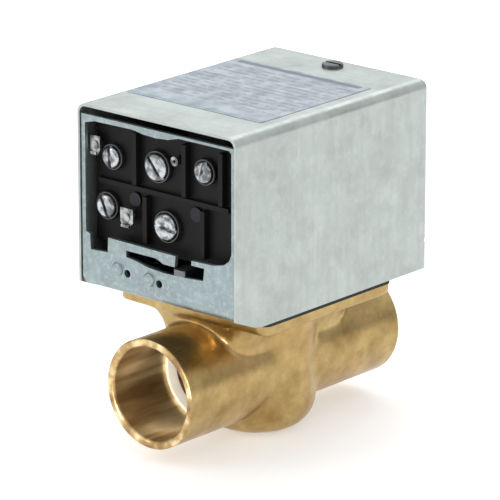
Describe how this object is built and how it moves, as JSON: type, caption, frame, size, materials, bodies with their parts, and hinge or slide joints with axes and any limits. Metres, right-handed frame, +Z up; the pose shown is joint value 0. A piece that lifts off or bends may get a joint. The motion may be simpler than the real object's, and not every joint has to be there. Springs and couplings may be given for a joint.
{
  "type": "zone valve",
  "caption": "Two-port motorised zone valve: brass sweat body with a swinging ball, and a sheet-steel powerhead with screw terminals and a manual lever.",
  "frame": {"origin": "centre of the inlet socket's mouth, under the terminal end", "axes": "+Y along the pipe from the inlet to the outlet, +Z up the stem towards the powerhead, +X to the right seen from the terminal end"},
  "size_m": [0.062, 0.096, 0.1059],
  "materials": {
    "cast_brass": "sand cast, lightly tumbled",
    "rolled_brass": "rolled and machined",
    "galvanised_steel": "zinc coated, softly brushed",
    "bright_steel": "zinc plated",
    "screw_steel": "bright zinc plated",
    "terminal_metal": "tin plated",
    "can_steel": "drawn steel",
    "magnet": "sintered ferrite",
    "copper_winding": "enamelled copper wire under tape",
    "black_phenolic": "moulded phenolic",
    "white_nylon": "moulded nylon",
    "rubber": "moulded nitrile rubber",
    "gasket_fibre": "moulded black fibre pad",
    "label_film": "printed foil",
    "lead_insulation": "PVC insulated lead"
  },
  "bodies": {
    "root": {"valve_body": "cast_brass", "bonnet_plate": "rolled_brass", "stem_bushing": "rolled_brass", "output_bushing": "rolled_brass", "cover": "galvanised_steel", "base_frame": "galvanised_steel", "motor_bracket": "galvanised_steel", "gear_pins": "bright_steel", "bracket_posts": "bright_steel", "cover_post": "bright_steel", "lever_pivot_pin": "bright_steel", "spring_post": "bright_steel", "return_spring": "bright_steel", "stator_plate_lower": "bright_steel", "stator_plate_upper": "bright_steel", "head_screws": "screw_steel", "bracket_screws": "screw_steel", "cover_screw": "screw_steel", "terminal_screws": "screw_steel", "switch_screws": "screw_steel", "terminal_plates": "terminal_metal", "terminal_clips": "terminal_metal", "switch_terminals": "terminal_metal", "motor_can": "can_steel", "gear_case": "can_steel", "gear_case_lid": "can_steel", "board_rivets": "can_steel", "motor_coil": "copper_winding", "terminal_board": "black_phenolic", "switch_body": "black_phenolic", "coil_bobbin": "white_nylon", "bonnet_o_ring": "rubber", "head_gasket": "gasket_fibre", "rating_label": "label_film", "motor_leads": "lead_insulation", "switch_leads": "lead_insulation"},
    "valve": {"valve_stem": "bright_steel", "stem_o_rings": "rubber", "stem_retaining_ring": "bright_steel", "ball_lever": "rolled_brass", "ball_pin": "bright_steel", "ball_plug": "rubber", "sector_hub": "rolled_brass", "sector_gear": "bright_steel", "sector_clip": "bright_steel"},
    "output": {"output_shaft": "bright_steel", "drive_pinion": "bright_steel", "output_gear": "white_nylon"},
    "gear_2": {"motor_gear_2": "white_nylon"},
    "gear_1": {"motor_gear_1": "white_nylon"},
    "rotor": {"rotor_shaft": "bright_steel", "rotor_magnet": "magnet"},
    "lever": {"manual_lever": "bright_steel"},
    "switch_leaf": {"switch_lever": "bright_steel"},
    "switch_plunger": {"switch_button": "white_nylon"}
  },
  "joints": [
    {"name": "rotor_spin", "type": "hinge", "parent": "root", "child": "rotor", "pos_m": [0.00002, 0.0518, 0], "axis": [0, 0, -1], "range_deg": [0, 34375]},
    {"name": "gear_1_spin", "type": "hinge", "parent": "root", "child": "gear_1", "pos_m": [-0.01282, 0.05833, 0], "axis": [0, 0, 1], "range_deg": [0, 6875.34]},
    {"name": "gear_2_spin", "type": "hinge", "parent": "root", "child": "gear_2", "pos_m": [-0.00789, 0.07186, 0], "axis": [0, 0, -1], "range_deg": [0, 1375.07]},
    {"name": "output_spin", "type": "hinge", "parent": "root", "child": "output", "pos_m": [0.00602, 0.07559, 0], "axis": [0, 0, 1], "range_deg": [0, 275.01]},
    {"name": "valve_turn", "type": "hinge", "parent": "root", "child": "valve", "pos_m": [-0.0105, 0.052, 0], "axis": [0, 0, -1], "range_deg": [0, 55], "stiffness_Nm_per_rad": 0.05, "deforming": ["return_spring"]},
    {"name": "switch_leaf_turn", "type": "hinge", "parent": "root", "child": "switch_leaf", "pos_m": [-0.0193, 0.064, 0], "axis": [0, 0, -1], "range_deg": [0, 4.78]},
    {"name": "switch_plunger_slide", "type": "slide", "parent": "root", "child": "switch_plunger", "axis": [-1, 0, 0], "range_m": [0, 0.000417]},
    {"name": "manual_lever_swing", "type": "hinge", "parent": "root", "child": "lever", "pos_m": [0.00905, 0.041, 0], "axis": [0, 0, -1], "range_deg": [0, 14.5]}
  ],
  "couplings": [
    {"joint": "gear_1_spin", "follows": "rotor_spin", "ratio": 0.2},
    {"joint": "gear_2_spin", "follows": "rotor_spin", "ratio": 0.04},
    {"joint": "output_spin", "follows": "rotor_spin", "ratio": 0.008},
    {"joint": "valve_turn", "follows": "rotor_spin", "ratio": 0.0016},
    {"joint": "switch_leaf_turn", "follows": "rotor_spin", "ratio": 0.0001389},
    {"joint": "switch_plunger_slide", "follows": "rotor_spin", "m_per_rad": 0.00000069449}
  ]
}
